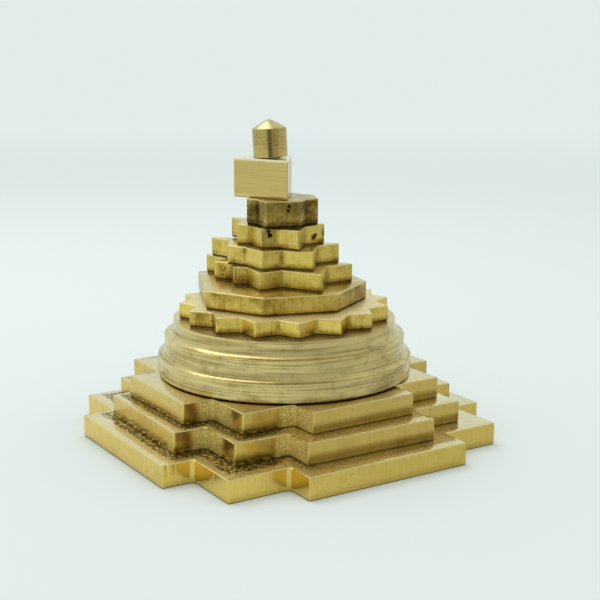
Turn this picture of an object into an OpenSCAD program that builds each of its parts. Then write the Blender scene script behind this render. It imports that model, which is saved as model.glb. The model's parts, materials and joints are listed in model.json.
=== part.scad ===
// Stepped brass pyramid of stacked, bored tiers, held together by one tie rod.
// Millimetres, +Z up, origin at the centre of the lower tier's underside.

/* [Lower square tier] */
// Reach across two opposite gates
lower_reach = 76; // [70:0.1:84]
// Side of the square behind the gates
lower_side = 62.8; // [56:0.1:68]
// Width of each gate
lower_gate_w = 36.6; // [30:0.1:44]
// Height
lower_h = 4.6; // [4.2:0.05:8]

/* [Middle square tier] */
// Reach across two opposite gates
middle_reach = 66; // [60:0.1:72]
// Side of the square behind the gates
middle_side = 52.4; // [46:0.1:58]
// Width of each gate
middle_gate_w = 29.2; // [24:0.1:36]
// Height
middle_h = 4.35; // [3:0.05:8]
// Turn on the rod, in degrees
middle_turn = -1.1; // [-10:0.1:10]

/* [Upper square tier] */
// Reach across two opposite gates
upper_reach = 59.7; // [56:0.1:66]
// Side of the square behind the gates
upper_side = 46.8; // [42:0.1:52]
// Width of each gate
upper_gate_w = 23.8; // [18:0.1:30]
// Height
upper_h = 4.35; // [3:0.05:8]
// Turn on the rod, in degrees
upper_turn = 0.4; // [-10:0.1:10]
// Drift of the outline towards the back
upper_drift = 1; // [-2:0.1:2]

/* [Round tier] */
// Radius of the bottom step
round_r1 = 26.5; // [25.8:0.05:28]
// Radius of the middle step
round_r2 = 25.05; // [24:0.05:25.4]
// Radius of the top step
round_r3 = 23.15; // [20:0.05:23.6]
// Height of the bottom step
round_h1 = 4.2; // [3:0.01:6]
// Height of the middle step
round_h2 = 4.15; // [3:0.01:6]
// Height of the top step
round_h3 = 3.26; // [3:0.01:6]
// Bevel round the foot
round_bevel = 0.6; // [0.2:0.05:1]
// Radius of the cove above each ledge
round_cove_r = 2; // [1.5:0.05:3]
// Flat left on each ledge, outside its cove
round_lip = 0.2; // [0.1:0.05:0.5]

/* [Sixteen-point tier] */
// Radius to the points
sixteen_tip_r = 22; // [20.5:0.1:24]
// Radius to the valleys
sixteen_valley_r = 19; // [16:0.1:20]
// Height
sixteen_h = 3.4; // [2:0.05:8]
// Turn on the rod, in degrees
sixteen_turn = 20.6; // [0:0.1:45]

/* [Octagon tier] */
// Radius to the corners
octagon_r = 17.6; // [15.5:0.1:20]
// Height
octagon_h = 3.9; // [2:0.05:8]
// Drift of the outline towards the rod's lean
octagon_drift = 0.5; // [-1:0.1:2]

/* [First star tier] */
// Radius to the points
first_tip_r = 14.5; // [13.5:0.1:16]
// Radius to the valleys
first_valley_r = 10.5; // [9:0.1:11.5]
// Height
first_h = 3.9; // [2:0.05:8]
// Drift of the outline towards the rod's lean
first_drift = 1.2; // [-1:0.1:2]

/* [Second star tier] */
// Radius to the points
second_tip_r = 12; // [11:0.1:14]
// Radius to the valleys
second_valley_r = 8.5; // [7.5:0.1:9.5]
// Height
second_h = 4; // [2:0.05:8]
// Drift of the outline towards the rod's lean
second_drift = 1.9; // [0:0.1:3]

/* [Third star tier] */
// Radius to the points
third_tip_r = 9.5; // [9:0.1:11]
// Radius to the valleys
third_valley_r = 7; // [6.2:0.1:7.6]
// Height
third_h = 4.2; // [2:0.05:8]
// Drift of the outline towards the rod's lean
third_drift = 1.6; // [0:0.1:3]

/* [Fourth star tier] */
// Radius to the points
fourth_tip_r = 7.6; // [7:0.1:9]
// Radius to the valleys
fourth_valley_r = 6.2; // [5.6:0.1:6.8]
// Height
fourth_h = 5.6; // [2:0.05:8]
// Drift of the outline towards the rod's lean
fourth_drift = 0.4; // [0:0.1:3]

/* [Triangle tier] */
// Radius to the three corners
triangle_r = 7.7; // [7.2:0.1:10]
// Height
triangle_h = 8; // [4:0.05:12]
// Turn on the rod, in degrees
triangle_turn = 24.3; // [0:0.1:120]
// Drift of the outline towards the rod's lean
triangle_drift = 2.8; // [2:0.1:3.5]

/* [Bindu finial] */
// Diameter
finial_d = 7; // [5.5:0.1:9]
// Height of the turned side
finial_h = 5.8; // [4.5:0.1:10]
// Height of the cone on top
finial_cone_h = 1.8; // [0.5:0.1:4]
// Depth of the threaded hole
finial_hole_h = 4.4; // [3:0.1:5]
// Gap between the rod's end and the bottom of the hole
finial_end_gap = 0.4; // [0.2:0.1:1]
// Gap below the lowest point of the finial's foot
finial_seat_gap = 0.05; // [0.02:0.01:0.2]

/* [Tie rod and its nut] */
// Diameter of the rod
rod_d = 3; // [2:0.1:3.6]
// Lean of the rod from upright, in degrees
rod_lean = 2.8; // [0:0.1:3.5]
// Direction of the lean, in degrees from +X towards +Y
rod_toward = 147; // [0:1:360]
// Gap around the rod in the bore of each tier
bore_clear = 0.3; // [0.1:0.05:0.6]
// Gap around the rod in the finial's and the nut's thread
thread_clear = 0.05; // [0.03:0.01:0.1]
// Width of the nut across its flats
nut_flats = 5.5; // [4.8:0.1:6]
// Height of the nut
nut_h = 1.8; // [1.2:0.1:2.4]
// Diameter of the washer
washer_d = 6; // [5.2:0.1:6.8]
// Thickness of the washer
washer_t = 0.5; // [0.3:0.05:0.8]
// Gap around the rod in the washer
washer_clear = 0.1; // [0.05:0.05:0.3]
// Gap around the nut and washer in their recess
recess_clear = 0.5; // [0.3:0.05:1]
// Length of rod left standing below the nut
rod_tail = 0.3; // [0.1:0.05:0.5]
// Height of the rod's end above the surface that the base stands on
floor_clear = 0.3; // [0.1:0.05:0.5]
// Gap between the washer and the roof of the recess
washer_seat_gap = 0.03; // [0.01:0.01:0.1]

/* [Hidden] */
$fn = 96;
cut = 1;

polished = [0.78, 0.65, 0.28];
satin = [0.80, 0.72, 0.47];
sawn = [0.75, 0.61, 0.24];
tarnished = [0.47, 0.38, 0.13];
bright = [0.84, 0.73, 0.38];
steel = [0.62, 0.62, 0.60];

// Height of each tier's underside, one on top of the other
middle_z = lower_h;
upper_z = middle_z + middle_h;
round_z = upper_z + upper_h;
round_h = round_h1 + round_h2 + round_h3;
sixteen_z = round_z + round_h;
octagon_z = sixteen_z + sixteen_h;
first_z = octagon_z + octagon_h;
second_z = first_z + first_h;
third_z = second_z + second_h;
fourth_z = third_z + third_h;
triangle_z = fourth_z + fourth_h;
stack_top = triangle_z + triangle_h;

// Hand-cut corners on the front of a tier. Each row holds the direction of a point in degrees and
// how far it stands beyond the tier's radius, then the same two for the valley that follows it.
// A row without a valley is followed by a straight side.
octagon_front = [[116, 3.9], [182, 0.7], [226, -0.3], [278, -0.6], [330, 0]];
first_front = [[114, 5, 122, 1.6], [140, -0.8, 150, -1], [176, -4, 186, -2.2],
               [220, -2.6, 242, -2.3], [272, 1.1, 306, 0.2], [325, 1, 340, 0]];
second_front = [[115, 4.9, 122, 2.5], [158, -2, 183, -1], [223, -2, 248, -0.6],
                [276, 0.6, 312, 0.5], [332, 1.5, 348, 0]];
third_front = [[103, 4.8, 110, 2.5], [157, -1.2, 170, -1.2], [214, -1.8, 238, 0],
               [263, 1.2, 300, -0.4], [330, 0.5, 345, 0]];
fourth_front = [[166, 0.1, 190, 0.5], [216, 1.2], [264, 0.1, 288, 0], [312, 0, 333, 0]];

// Points round the back of each tier, evenly spaced between the last front point and the first
sixteen_points = 16;
octagon_back = 3;
first_back = 4;
second_back = 3;
third_back = 3;
fourth_back = 4;

// Places along the leaning rod
function rod_shift(z) = z * tan(rod_lean) * [cos(rod_toward), sin(rod_toward), 0];
function along_rod(z) = z / cos(rod_lean);
function tilt_rise(r) = r * sin(rod_lean);
function bore_d(h) = rod_d / cos(rod_lean) + h * tan(rod_lean) + 2 * bore_clear;
finial_foot = along_rod(stack_top + tilt_rise(finial_d / 2) + finial_seat_gap);
rod_top = finial_foot + finial_hole_h - finial_end_gap;
nut_corner_r = nut_flats / 2 / cos(30);
rod_end = along_rod(floor_clear + tilt_rise(rod_d / 2));
nut_foot = rod_end + rod_tail;
washer_foot = nut_foot + nut_h;
washer_top = washer_foot + washer_t;
recess_h = washer_top * cos(rod_lean) + tilt_rise(washer_d / 2) + washer_seat_gap;
recess_r = max(nut_corner_r, washer_d / 2) + recess_clear;

// Corners round the back of a tier, in the same rows, with valleys halfway if it has any
function back_rows(front, count, valleys) =
    let (last = front[len(front) - 1][0], step = (360 + front[0][0] - last) / (count + 1))
    [for (i = [1 : count]) let (tip = last + i * step)
        valleys ? [tip, 0, tip + step / 2, 0] : [tip, 0]];
function polar(r, direction) = r * [cos(direction), sin(direction)];
function outline(rows, tip_r, valley_r) =
    [for (row = rows, i = [0 : 2 : len(row) - 1]) polar((i == 0 ? tip_r : valley_r) + row[i + 1], row[i])];
function even_rows(count) =
    [for (i = [0 : count - 1]) [i * 360 / count, 0, (i + 0.5) * 360 / count, 0]];

// Moves a tier's outline off the base's centre, towards the rod's lean
module drifted(drift) {
    translate(drift * [cos(rod_toward), sin(rod_toward), 0]) children();
}

// Drills the upright bore of a tier where the rod passes its middle
module bored(z, h) {
    difference() {
        translate([0, 0, z]) children();
        translate(rod_shift(z + h / 2) + [0, 0, z - cut]) cylinder(d = bore_d(h), h = h + 2 * cut);
    }
}

// Places what is turned about the rod's own axis, with its foot a length along it
module on_rod(foot) {
    rotate([0, rod_lean, rod_toward]) translate([0, 0, foot]) children();
}

// Square with a gate standing out in the middle of each side
module gated_square(side, reach, gate_w) {
    square(side, center = true);
    square([reach, gate_w], center = true);
    square([gate_w, reach], center = true);
}

// One ledge of the round tier, with its cove running up into the next step
module coved_step(foot, h, r, next_r) {
    ledge = foot + h;
    depth = min(round_cove_r, r - next_r - round_lip);
    rise = sqrt(pow(round_cove_r, 2) - pow(round_cove_r - depth, 2));
    translate([0, foot]) square([r, h]);
    difference() {
        translate([0, ledge]) square([next_r + depth, rise]);
        translate([next_r + round_cove_r, ledge + rise]) circle(round_cove_r);
    }
}

module lower_square_tier() {
    color(polished) difference() {
        bored(0, lower_h) linear_extrude(lower_h) gated_square(lower_side, lower_reach, lower_gate_w);
        translate(rod_shift(recess_h / 2) - [0, 0, cut]) cylinder(r = recess_r, h = recess_h + cut);
    }
}

module middle_square_tier() {
    color(polished) bored(middle_z, middle_h) rotate(middle_turn)
        linear_extrude(middle_h) gated_square(middle_side, middle_reach, middle_gate_w);
}

module upper_square_tier() {
    color(polished) bored(upper_z, upper_h) translate([0, upper_drift, 0]) rotate(upper_turn)
        linear_extrude(upper_h) gated_square(upper_side, upper_reach, upper_gate_w);
}

module round_tier() {
    color(satin) bored(round_z, round_h) rotate_extrude() {
        polygon([[0, 0], [round_r1 - round_bevel, 0], [round_r1, round_bevel], [0, round_bevel]]);
        coved_step(round_bevel, round_h1 - round_bevel, round_r1, round_r2);
        coved_step(round_h1, round_h2, round_r2, round_r3);
        translate([0, round_h1 + round_h2]) square([round_r3, round_h3]);
    }
}

module sixteen_point_tier() {
    color(sawn) bored(sixteen_z, sixteen_h) rotate(sixteen_turn) linear_extrude(sixteen_h)
        polygon(outline(even_rows(sixteen_points), sixteen_tip_r, sixteen_valley_r));
}

module octagon_tier() {
    rows = concat(octagon_front, back_rows(octagon_front, octagon_back, false));
    color(sawn) bored(octagon_z, octagon_h) drifted(octagon_drift) linear_extrude(octagon_h)
        polygon(outline(rows, octagon_r, octagon_r));
}

// A star tier from its front corners and the number of points round its back
module star_tier(z, h, front, back, tip_r, valley_r, drift) {
    bored(z, h) drifted(drift) linear_extrude(h)
        polygon(outline(concat(front, back_rows(front, back, true)), tip_r, valley_r));
}

module first_star_tier() {
    color(sawn) star_tier(first_z, first_h, first_front, first_back,
                          first_tip_r, first_valley_r, first_drift);
}

module second_star_tier() {
    color(sawn) star_tier(second_z, second_h, second_front, second_back,
                          second_tip_r, second_valley_r, second_drift);
}

module third_star_tier() {
    color(sawn) star_tier(third_z, third_h, third_front, third_back,
                          third_tip_r, third_valley_r, third_drift);
}

module fourth_star_tier() {
    color(tarnished) star_tier(fourth_z, fourth_h, fourth_front, fourth_back,
                               fourth_tip_r, fourth_valley_r, fourth_drift);
}

module triangle_tier() {
    color(bright) bored(triangle_z, triangle_h) drifted(triangle_drift) rotate(triangle_turn)
        linear_extrude(triangle_h) circle(triangle_r, $fn = 3);
}

module bindu_finial() {
    color(bright) on_rod(finial_foot) difference() {
        union() {
            cylinder(d = finial_d, h = finial_h);
            translate([0, 0, finial_h]) cylinder(d1 = finial_d, d2 = 0, h = finial_cone_h);
        }
        translate([0, 0, -cut]) cylinder(d = rod_d + 2 * thread_clear, h = finial_hole_h + cut);
    }
}

module tie_rod() {
    color(steel) on_rod(rod_end) cylinder(d = rod_d, h = rod_top - rod_end);
}

module base_nut() {
    color(steel) on_rod(nut_foot) difference() {
        cylinder(r = nut_corner_r, h = nut_h, $fn = 6);
        translate([0, 0, -cut]) cylinder(d = rod_d + 2 * thread_clear, h = nut_h + 2 * cut);
    }
}

module base_washer() {
    color(steel) on_rod(washer_foot) difference() {
        cylinder(d = washer_d, h = washer_t);
        translate([0, 0, -cut]) cylinder(d = rod_d + 2 * washer_clear, h = washer_t + 2 * cut);
    }
}

lower_square_tier();
middle_square_tier();
upper_square_tier();
round_tier();
sixteen_point_tier();
octagon_tier();
first_star_tier();
second_star_tier();
third_star_tier();
fourth_star_tier();
triangle_tier();
bindu_finial();
tie_rod();
base_nut();
base_washer();
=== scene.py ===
"""Finish, stage and camera of a brass meru shri yantra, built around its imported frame."""
import json
import math

import bmesh
import bpy
from bpy.props import FloatProperty, FloatVectorProperty, IntProperty, PointerProperty
from mathutils import Matrix, Vector


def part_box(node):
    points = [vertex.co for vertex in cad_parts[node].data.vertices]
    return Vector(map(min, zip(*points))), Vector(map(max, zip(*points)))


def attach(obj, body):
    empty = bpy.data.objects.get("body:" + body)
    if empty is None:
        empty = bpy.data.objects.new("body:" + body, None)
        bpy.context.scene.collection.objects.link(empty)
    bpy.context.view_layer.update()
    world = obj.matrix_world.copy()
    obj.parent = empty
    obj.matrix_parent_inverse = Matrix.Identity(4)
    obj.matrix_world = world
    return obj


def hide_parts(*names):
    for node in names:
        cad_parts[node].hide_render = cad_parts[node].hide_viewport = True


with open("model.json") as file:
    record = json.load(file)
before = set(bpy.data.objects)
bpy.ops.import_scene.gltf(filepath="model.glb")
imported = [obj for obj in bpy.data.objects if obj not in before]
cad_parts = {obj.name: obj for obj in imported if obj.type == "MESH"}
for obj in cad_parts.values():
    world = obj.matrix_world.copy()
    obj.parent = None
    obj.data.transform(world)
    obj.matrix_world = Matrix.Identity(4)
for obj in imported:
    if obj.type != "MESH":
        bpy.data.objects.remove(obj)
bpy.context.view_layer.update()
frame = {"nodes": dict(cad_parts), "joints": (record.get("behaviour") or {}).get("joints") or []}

bl_info = {
    "name": "Brass Meru Shri Yantra",
    "version": (1, 0, 0),
    "blender": (4, 5, 0),
    "location": "3D View > Sidebar > Yantra",
    "description": "Cuts, turns and finishes the stacked brass tiers and sets their stage",
    "category": "Object",
}

MM = 0.001
# Points nearer than these are one, in the finished pieces and in the CAD's loose triangles
WELD = 0.002 * MM
CAD_WELD = 1e-7
# The upward part of a normal from which a face counts as level
LEVEL_NORMAL = 0.99
# Edges below the first angle are flat and go, and edges above the second are hard
FLAT_EDGE = math.radians(1)
HARD_EDGE = math.radians(50)
# How far apart the lines of two seeds start
SEED_STEP = 31.7
# How close two whole numbers are to count as the same
SAME = 0.1
BORE_SIDES = 48
CORNER_STEPS = 8
LIP_STEPS = 4
# The depth of a cut tier's gap, which is painted dark as its shadow, in radii of its corners
GAP_SHARE = 0.5
# Chips along a rim: their fineness, the noise from which they start and are full, and their reach in rims
CHIP_SCALE = 900.0
CHIP_RANGE = (0.55, 0.78)
CHIP_REACH = 1.5
# The part of the bright rim that is bright in full
SHINE_FULL = 0.75
# Unpolished metal on walls: its reach beside that on ledges, where it goes with a painted dark reflection of
# the wall, how much more on the left, and its full part
WALL_REACH = 1.3
LEFT_GRIT = 1.2
GRIT_FULL = 0.3
# How far towards a ledge's edge the unpolished metal and its painted dark reflection of the wall may reach
LEDGE_SHARE = 0.75
# Spacing of points on the turned pieces, and the radii that their profiles are swept round at
TURNED_SAMPLE = 0.09 * MM
ROUND_PITCH = 10 * MM
FINIAL_PITCH = 3 * MM
# The round tier: the gap below it, how much higher it is painted dark as shadow, and how many bore radii its
# outside is beyond
ROUND_GAP = 0.25 * MM
GAP_MARK = 10 * WELD
OUTSIDE = 4
# The finial: its sides, its share of the turning depth, and how much of its radius its shoulder has at least
FINIAL_SIDES = 128
FINIAL_TURNING = 0.12
SHOULDER_SHARE = 0.9
# The finial's cone: its steps, how domed it is, the bright line below its shoulder, and how pale it is
# painted, for wear and as sheen
DOME_STEPS = 10
DOME_CURVE = 1.2
SHOULDER_LINE = 0.3 * MM
CONE_WEAR_AND_SHEEN = 0.3

# Each cut tier: its body, its material slot, in millimetres the gap below it, painted dark as shadow, and the
# radius of its inner corners, and how much brighter brass its walls take, partly fresher metal and partly
# painted light, from 0 to 1
SQUARE_TIERS = {
    "lower_square_tier": ("base", "polished_brass", 0.12, 1.0, 0.5),
    "middle_square_tier": ("middle_square", "polished_brass", 0.1, 0.9, 0.0),
    "upper_square_tier": ("upper_square", "polished_brass", 0.1, 0.9, 0.0),
}
POINT_TIERS = {
    "sixteen_point_tier": ("sixteen_point", "sawn_brass", 0.42, 1.1, 0.7),
    "octagon_tier": ("octagon", "sawn_brass", 0.45, 0.5, 0.9),
    "first_star_tier": ("first_star", "sawn_brass", 0.42, 0.8, 0.0),
    "second_star_tier": ("second_star", "sawn_brass", 0.36, 0.8, 0.2),
    "third_star_tier": ("third_star", "sawn_brass", 0.35, 0.8, 0.0),
    "fourth_star_tier": ("fourth_star", "tarnished_brass", 0.55, 0.8, 0.0),
}
TRIANGLE_TIER = {"triangle_tier": ("triangle", "bright_brass", 0.12, 0.5, 0.0)}
# Tiers whose top is sanded matt and pale, and how much
SANDED_TOPS = {"sixteen_point_tier": 1.0}
# The tier that stands on each broad ledge
LEDGE_ABOVE = {"lower_square_tier": "middle_square_tier", "middle_square_tier": "upper_square_tier"}
FASTENERS = ("tie_rod", "base_nut", "base_washer")


class YantraSizes(bpy.types.PropertyGroup):
    """Small sizes of the cut and turned edges."""

    corner: FloatProperty(
        name="Corner", description="Radius of the upright corners", default=0.22 * MM, unit="LENGTH")
    rim: FloatProperty(
        name="Rim", description="Width of the worn upper rim", default=0.2 * MM, unit="LENGTH")
    # The gap below the round tier is painted dark as its shadow
    gap_depth: FloatProperty(
        name="Gap depth", description="Depth of the dark gap below the round tier",
        default=0.6 * MM, unit="LENGTH")
    sample: FloatProperty(
        name="Sample", description="Spacing of points along an outline", default=0.15 * MM, unit="LENGTH")
    saw_spacing: FloatProperty(
        name="Saw spacing", description="Typical distance between saw lines", default=0.4 * MM, unit="LENGTH")
    saw_depth: FloatProperty(
        name="Saw depth", description="Depth of the saw lines", default=0.016 * MM, unit="LENGTH")
    nick_depth: FloatProperty(
        name="Nick depth", description="Depth of the nicks along a rim", default=0.14 * MM, unit="LENGTH")
    turn_spacing: FloatProperty(
        name="Turning spacing", description="Typical distance between turning lines",
        default=0.3 * MM, unit="LENGTH")
    turn_depth: FloatProperty(
        name="Turning depth", description="Depth of the turning lines", default=0.02 * MM, unit="LENGTH")
    lip: FloatProperty(
        name="Lip", description="Rounding of the turned lips", default=0.1 * MM, unit="LENGTH")
    # Unpolished metal beside inner corners, and on ledges a painted dark reflection of the wall with painted
    # glints
    grit_and_painted_light_reach: FloatProperty(
        name="Grit reach", description="Width of the unpolished metal in the corners",
        default=3.6 * MM, unit="LENGTH")
    # Dirt and painted shade darken the walls towards inner corners and towards their feet
    grime_and_shade_reach: FloatProperty(
        name="Grime reach", description="Width of the dirt caught in inner corners and at feet",
        default=1.1 * MM, unit="LENGTH")
    turn_sides: IntProperty(name="Turned sides", description="Sides of a turned piece", default=288)
    seed: IntProperty(name="Seed", description="Start of the uneven tool marks", default=7)


class YantraColours(bpy.types.PropertyGroup):
    """Colours of the metal and the stage."""

    polished: FloatVectorProperty(
        name="Polished", description="Polished brass of the square tiers",
        subtype="COLOR", default=(0.74, 0.535, 0.145))
    satin: FloatVectorProperty(
        name="Satin", description="Turned brass of the round tier",
        subtype="COLOR", default=(0.76, 0.615, 0.265))
    sawn: FloatVectorProperty(
        name="Sawn", description="Sawn brass of the pointed tiers",
        subtype="COLOR", default=(0.79, 0.60, 0.14))
    # Also the colour in which the sawn tiers' corners are painted with dirt and shade
    stain_and_shade: FloatVectorProperty(
        name="Stain", description="Brown stains on the sawn brass",
        subtype="COLOR", default=(0.30, 0.175, 0.018))
    bright: FloatVectorProperty(
        name="Bright", description="Bright brass of the triangle and the finial",
        subtype="COLOR", default=(0.76, 0.585, 0.20))
    # Also the colour in which corners and the feet of walls are painted with dirt and shade
    tarnish_and_shade: FloatVectorProperty(
        name="Tarnish", description="Brown tarnish", subtype="COLOR", default=(0.16, 0.095, 0.015))
    steel: FloatVectorProperty(
        name="Steel", description="Rod, nut and washer", subtype="COLOR", default=(0.45, 0.45, 0.43))
    dull: FloatVectorProperty(
        name="Dull", description="Darker marks on the steel", subtype="COLOR", default=(0.1, 0.09, 0.08))
    floor: FloatVectorProperty(
        name="Floor", description="Pale floor and surroundings", subtype="COLOR", default=(0.76, 0.84, 0.82))
    room: FloatVectorProperty(
        name="Room", description="Dimmer room beyond the floor, seen in reflections",
        subtype="COLOR", default=(0.34, 0.33, 0.30))


class YantraStage(bpy.types.PropertyGroup):
    """Camera and light."""

    eye: FloatVectorProperty(
        name="Eye", description="Place of the camera", subtype="TRANSLATION",
        unit="LENGTH", default=(-130.9 * MM, -209.6 * MM, 81.2 * MM))
    yaw: FloatProperty(
        name="Yaw", description="Turn of the view from +Y towards +X",
        subtype="ANGLE", default=math.radians(32.74))
    pitch: FloatProperty(
        name="Pitch", description="Downward tilt of the view", subtype="ANGLE", default=math.radians(12.1))
    roll: FloatProperty(
        name="Roll", description="Turn of the picture", subtype="ANGLE", default=math.radians(0.22))
    lens: FloatProperty(name="Lens", description="Focal length in millimetres", default=72.53)
    sky: FloatProperty(name="Sky", description="Strength of the light from all round", default=0.9)
    key: FloatProperty(name="Key", description="Power of the lamp above", subtype="POWER", default=0.36)
    shade: FloatProperty(
        name="Shade", description="How dim the right-hand side is in reflections",
        subtype="FACTOR", default=0.42)
    table: FloatProperty(
        name="Table", description="Reach of the pale floor in reflections", unit="LENGTH", default=0.16)


def put(tree, kind, inputs=None, **settings):
    """Adds a node with its settings, and links or sets its inputs by name or number."""
    node = tree.nodes.new(kind)
    for key, value in settings.items():
        setattr(node, key, value)
    for key, value in (inputs or {}).items():
        if isinstance(value, bpy.types.NodeSocket):
            tree.links.new(value, node.inputs[key])
        else:
            node.inputs[key].default_value = value
    return node


def made(kind, inputs, **settings):
    """Adds a node to the tree of the sockets among its inputs, and gives its outputs."""
    tree = next(value.id_data for value in inputs.values() if isinstance(value, bpy.types.NodeSocket))
    return put(tree, kind, inputs, **settings).outputs


def out(kind, inputs, **settings):
    """The first output of a node in the tree of its inputs."""
    return made(kind, inputs, **settings)[0]


def math_node(operation, first, second=0.0, third=0.0):
    """One math node's result."""
    return out("ShaderNodeMath", {0: first, 1: second, 2: third}, operation=operation)


def times(first, second):
    """Two values multiplied."""
    return math_node("MULTIPLY", first, second)


def plus(first, second):
    """Two values added."""
    return math_node("ADD", first, second)


def minus(first, second):
    """A value less another."""
    return math_node("SUBTRACT", first, second)


def times_plus(first, second, third):
    """Two values multiplied, and a third added."""
    return math_node("MULTIPLY_ADD", first, second, third)


def larger(first, second):
    """The larger of two values."""
    return math_node("MAXIMUM", first, second)


def smaller(first, second):
    """The smaller of two values."""
    return math_node("MINIMUM", first, second)


def between(share, first, second):
    """Two values mixed by a share."""
    return out("ShaderNodeMix", {"Factor": share, "A": first, "B": second})


def parts(whole):
    """The x, y and z of a vector."""
    return made("ShaderNodeSeparateXYZ", {0: whole})


def dot(first, second):
    """How far one vector runs along another."""
    return made("ShaderNodeVectorMath", {0: first, 1: second}, operation="DOT_PRODUCT")["Value"]


def position_of(tree):
    """Each point's place."""
    return put(tree, "GeometryNodeInputPosition").outputs[0]


def kept_value(tree, name):
    """A value that was kept on the points under a name."""
    return put(tree, "GeometryNodeInputNamedAttribute", {"Name": name}, data_type="FLOAT").outputs[0]


def ramp(value, low, high, start=0.0, end=1.0):
    """A value brought smoothly from between low and high to between start and end."""
    inputs = {"Value": value, "From Min": low, "From Max": high, "To Min": start, "To Max": end}
    return out("ShaderNodeMapRange", inputs, interpolation_type="SMOOTHSTEP")


def vector(x=0.0, y=0.0, z=0.0):
    """A vector from three values."""
    return out("ShaderNodeCombineXYZ", {0: x, 1: y, 2: z})


def new_tree(name, floats=(), whole=(), vectors=()):
    """A geometry tree with a geometry input, named inputs, a material input and one output."""
    tree = bpy.data.node_groups.new(name, "GeometryNodeTree")
    tree.interface.new_socket("Geometry", in_out="OUTPUT", socket_type="NodeSocketGeometry")
    tree.interface.new_socket("Geometry", in_out="INPUT", socket_type="NodeSocketGeometry")
    for kind, names in (("Float", floats), ("Int", whole), ("Vector", vectors)):
        for socket in names:
            tree.interface.new_socket(socket, in_out="INPUT", socket_type="NodeSocket" + kind)
    tree.interface.new_socket("Material", in_out="INPUT", socket_type="NodeSocketMaterial")
    return tree, put(tree, "NodeGroupInput").outputs


def line_noise(along, spacing, seed):
    """Uneven lines along a length, from -0.5 to 0.5."""
    place = plus(math_node("DIVIDE", along, spacing), times(seed, SEED_STEP))
    uneven = out("ShaderNodeTexNoise", {"W": place, "Scale": 1.0, "Detail": 2.0}, noise_dimensions="1D")
    return minus(uneven, 0.5)


def store(geometry, name, value):
    """Keeps a value on the points under a name that the materials read."""
    inputs = {"Geometry": geometry, "Name": name, "Value": value}
    return out("GeometryNodeStoreNamedAttribute", inputs, data_type="FLOAT", domain="POINT")


def circle(radius, sides=BORE_SIDES):
    """A circle about the origin."""
    return out("GeometryNodeCurvePrimitiveCircle", {"Resolution": sides, "Radius": radius})


def swept(path, profile):
    """A profile swept along a flat path: its x runs outwards and its y downwards."""
    upright = out("GeometryNodeSetCurveNormal", {"Curve": path}, mode="Z_UP")
    return out("GeometryNodeCurveToMesh", {"Curve": upright, "Profile Curve": profile})


def eased_line(line, radius, steps, spacing):
    """A line with its corners rounded and its points set at a spacing."""
    inputs = {"Curve": line, "Count": steps, "Radius": radius, "Limit Radius": True}
    rounded = out("GeometryNodeFilletCurve", inputs, mode="POLY")
    return out("GeometryNodeResampleCurve", {"Curve": rounded, "Length": spacing}, mode="LENGTH")


def run_length(tree):
    """How far along its line a point lies."""
    return put(tree, "GeometryNodeSplineParameter").outputs["Length"]


def flattened(way):
    """A vector without its upward part."""
    return out("ShaderNodeVectorMath", {0: way, 1: (1.0, 1.0, 0.0)}, operation="MULTIPLY")


def pushed(geometry, way, amount):
    """Points moved along a direction by an amount."""
    offset = out("ShaderNodeVectorMath", {0: way, 3: amount}, operation="SCALE")
    return out("GeometryNodeSetPosition", {"Geometry": geometry, "Offset": offset})


def point_line(points):
    """An open line through points, each a pair of sockets or numbers."""
    places = [vector(*point) for point in points]
    tree = places[0].id_data
    line = put(tree, "GeometryNodeMeshLine", {"Count": len(points)}).outputs[0]
    switch = put(tree, "GeometryNodeIndexSwitch", data_type="VECTOR")
    while len(switch.index_switch_items) < len(points):
        switch.index_switch_items.new()
    index = put(tree, "GeometryNodeInputIndex").outputs[0]
    for number, value in enumerate((index, *places)):
        tree.links.new(value, switch.inputs[number])
    placed = out("GeometryNodeSetPosition", {"Geometry": line, "Position": switch.outputs[0]})
    return out("GeometryNodeMeshToCurve", {"Mesh": placed})


def moved(geometry, place):
    """Geometry moved by a vector."""
    return out("GeometryNodeTransform", {"Geometry": geometry, "Translation": place})


def joined(*pieces):
    """Several geometries as one."""
    tree = pieces[0].id_data
    node = put(tree, "GeometryNodeJoinGeometry")
    for piece in pieces:
        tree.links.new(piece, node.inputs[0])
    return node.outputs[0]


def filled(*loops):
    """The flat face inside a loop, with holes where further loops lie inside it."""
    return out("GeometryNodeFillCurve", {"Curve": joined(*loops)}, mode="TRIANGLES")


def choice(wanted, usual, other):
    """One geometry, or another where it is wanted."""
    inputs = {0: wanted, 1: usual, 2: other} if usual else {0: wanted, 2: other}
    return out("GeometryNodeSwitch", inputs, input_type="GEOMETRY")


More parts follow.
